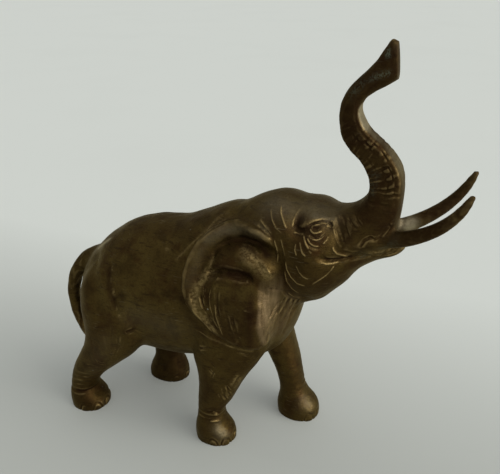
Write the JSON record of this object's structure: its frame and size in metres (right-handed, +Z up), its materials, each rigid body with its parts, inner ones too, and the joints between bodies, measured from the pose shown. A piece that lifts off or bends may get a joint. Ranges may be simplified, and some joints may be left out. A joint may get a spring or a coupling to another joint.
{
  "type": "elephant figurine",
  "caption": "Cast brass figurine of a walking elephant with long tusks and its trunk raised, standing on its own feet.",
  "frame": {"origin": "on the floor that the soles stand on, below the middle of the box round the figurine", "axes": "+X the way the elephant walks, +Y to its left, +Z up"},
  "size_m": [0.2588, 0.082, 0.2509],
  "materials": {
    "brass": "old brown-olive patina, satin, rubbed to a dull gold on the raised edges"
  },
  "bodies": {
    "root": {"elephant": "brass"}
  },
  "joints": []
}
